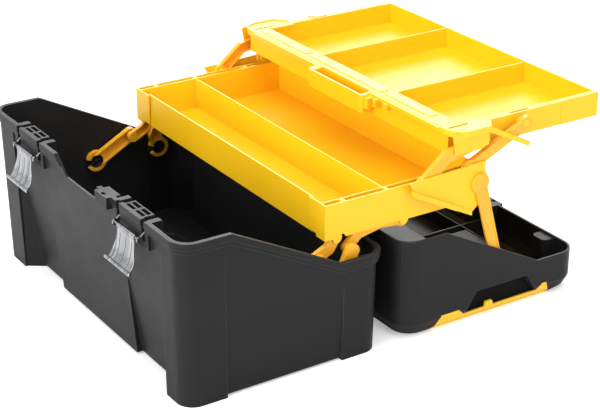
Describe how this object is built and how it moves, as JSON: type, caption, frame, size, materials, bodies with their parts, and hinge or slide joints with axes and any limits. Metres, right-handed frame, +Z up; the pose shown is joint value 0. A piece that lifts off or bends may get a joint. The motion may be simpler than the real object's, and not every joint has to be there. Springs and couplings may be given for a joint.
{
  "type": "cantilever tool box",
  "caption": "Open cantilever tool box: black bucket and hinged lid, two yellow linked trays over the gap, metal draw latches, organiser covers in the lid.",
  "frame": {"origin": "centre of the bucket footprint on the floor", "axes": "+X along the box to its right end, -Y to the latch side, +Z up; the lid lies open on the +Y side"},
  "size_m": [0.482, 0.6137, 0.2445],
  "materials": {
    "black_plastic": "fine-grained polypropylene",
    "yellow_plastic": "satin polypropylene",
    "plug_plastic": "smooth plugs",
    "zinc_steel": "bright zinc plate"
  },
  "bodies": {
    "bucket": {"bucket": "black_plastic", "hinge_pins": "zinc_steel"},
    "lid": {"lid": "black_plastic", "handle_pins": "zinc_steel"},
    "lid_arms": {"lid_arm_left": "yellow_plastic", "lid_arm_right": "yellow_plastic"},
    "lower_tray": {"lower_tray": "yellow_plastic"},
    "lower_front_links": {"lower_front_link_left": "yellow_plastic", "lower_front_link_right": "yellow_plastic", "front_pivot_plugs": "plug_plastic"},
    "lower_rear_links": {"lower_rear_link_left": "yellow_plastic", "lower_rear_link_right": "yellow_plastic", "rear_pivot_plugs": "plug_plastic"},
    "upper_front_links": {"upper_front_link_left": "yellow_plastic", "upper_front_link_right": "yellow_plastic"},
    "upper_rear_links": {"upper_rear_link_left": "yellow_plastic", "upper_rear_link_right": "yellow_plastic"},
    "upper_tray": {"upper_tray": "yellow_plastic"},
    "latch_bail_left": {"latch_bail_left": "zinc_steel"},
    "latch_bail_right": {"latch_bail_right": "zinc_steel"},
    "latch_lever_left": {"latch_lever_left": "zinc_steel"},
    "latch_lever_right": {"latch_lever_right": "zinc_steel"},
    "organiser_cover_left": {"organiser_cover_left": "yellow_plastic"},
    "organiser_cover_right": {"organiser_cover_right": "yellow_plastic"},
    "carrying_handle": {"carrying_handle": "black_plastic"}
  },
  "joints": [
    {"name": "lid_hinge", "type": "hinge", "parent": "bucket", "child": "lid", "pos_m": [0, 0.1448, 0.127], "axis": [1, 0, 0], "range_deg": [0, 180]},
    {"name": "lid_arm_pivot", "type": "hinge", "parent": "lid", "child": "lid_arms", "pos_m": [0, 0.29973, 0.05877], "axis": [1, 0, 0], "range_deg": [0, 54.92]},
    {"name": "tray_boss_pivot", "type": "hinge", "parent": "lid_arms", "child": "lower_tray", "pos_m": [0, 0.267, 0.176], "axis": [1, 0, 0], "range_deg": [-234.92, 0]},
    {"name": "lower_front_link_pivot", "type": "hinge", "parent": "lower_tray", "child": "lower_front_links", "pos_m": [0, 0.07632, 0.14869], "axis": [1, 0, 0], "range_deg": [0, 131.01]},
    {"name": "lower_rear_link_pivot", "type": "hinge", "parent": "lower_tray", "child": "lower_rear_links", "pos_m": [0, 0.16832, 0.14869], "axis": [1, 0, 0], "range_deg": [0, 131.01]},
    {"name": "upper_front_link_pivot", "type": "hinge", "parent": "lower_tray", "child": "upper_front_links", "pos_m": [0, 0.19, 0.189], "axis": [1, 0, 0], "range_deg": [0, 146.01]},
    {"name": "upper_rear_link_pivot", "type": "hinge", "parent": "lower_tray", "child": "upper_rear_links", "pos_m": [0, 0.256, 0.196], "axis": [1, 0, 0], "range_deg": [0, 146.01]},
    {"name": "upper_tray_pivot", "type": "hinge", "parent": "upper_front_links", "child": "upper_tray", "pos_m": [0, 0.27222, 0.22561], "axis": [1, 0, 0], "range_deg": [-146.01, 0]},
    {"name": "latch_bail_left_hinge", "type": "hinge", "parent": "bucket", "child": "latch_bail_left", "pos_m": [0, -0.127, 0.188], "axis": [-1, 0, 0], "range_deg": [0, 15.1]},
    {"name": "latch_lever_left_hinge", "type": "hinge", "parent": "latch_bail_left", "child": "latch_lever_left", "pos_m": [0, -0.138, 0.178], "axis": [-1, 0, 0], "range_deg": [0, 143]},
    {"name": "organiser_cover_left_hinge", "type": "hinge", "parent": "lid", "child": "organiser_cover_left", "pos_m": [-0.0804, 0.2946, 0.0026], "axis": [0, -1, 0], "range_deg": [0, 90]},
    {"name": "latch_bail_right_hinge", "type": "hinge", "parent": "bucket", "child": "latch_bail_right", "pos_m": [0, -0.127, 0.188], "axis": [-1, 0, 0], "range_deg": [0, 15.1]},
    {"name": "latch_lever_right_hinge", "type": "hinge", "parent": "latch_bail_right", "child": "latch_lever_right", "pos_m": [0, -0.138, 0.178], "axis": [-1, 0, 0], "range_deg": [0, 143]},
    {"name": "organiser_cover_right_hinge", "type": "hinge", "parent": "lid", "child": "organiser_cover_right", "pos_m": [0.0804, 0.2946, 0.0026], "axis": [0, 1, 0], "range_deg": [0, 90]},
    {"name": "carrying_handle_hinge", "type": "hinge", "parent": "lid", "child": "carrying_handle", "pos_m": [0, 0.2696, 0.011], "axis": [-1, 0, 0], "range_deg": [0, 90]}
  ],
  "couplings": [
    {"joint": "lid_arm_pivot", "follows": "lid_hinge", "ratio": 0.30507},
    {"joint": "tray_boss_pivot", "follows": "lid_hinge", "ratio": -1.3051},
    {"joint": "lower_front_link_pivot", "follows": "lid_hinge", "ratio": 0.72778},
    {"joint": "lower_rear_link_pivot", "follows": "lid_hinge", "ratio": 0.72778},
    {"joint": "upper_front_link_pivot", "follows": "lid_hinge", "ratio": 0.81111},
    {"joint": "upper_rear_link_pivot", "follows": "lid_hinge", "ratio": 0.81111},
    {"joint": "upper_tray_pivot", "follows": "lid_hinge", "ratio": -0.81111},
    {"joint": "latch_bail_left_hinge", "follows": "latch_lever_left_hinge", "ratio": 0.105},
    {"joint": "latch_bail_right_hinge", "follows": "latch_lever_right_hinge", "ratio": 0.105}
  ]
}
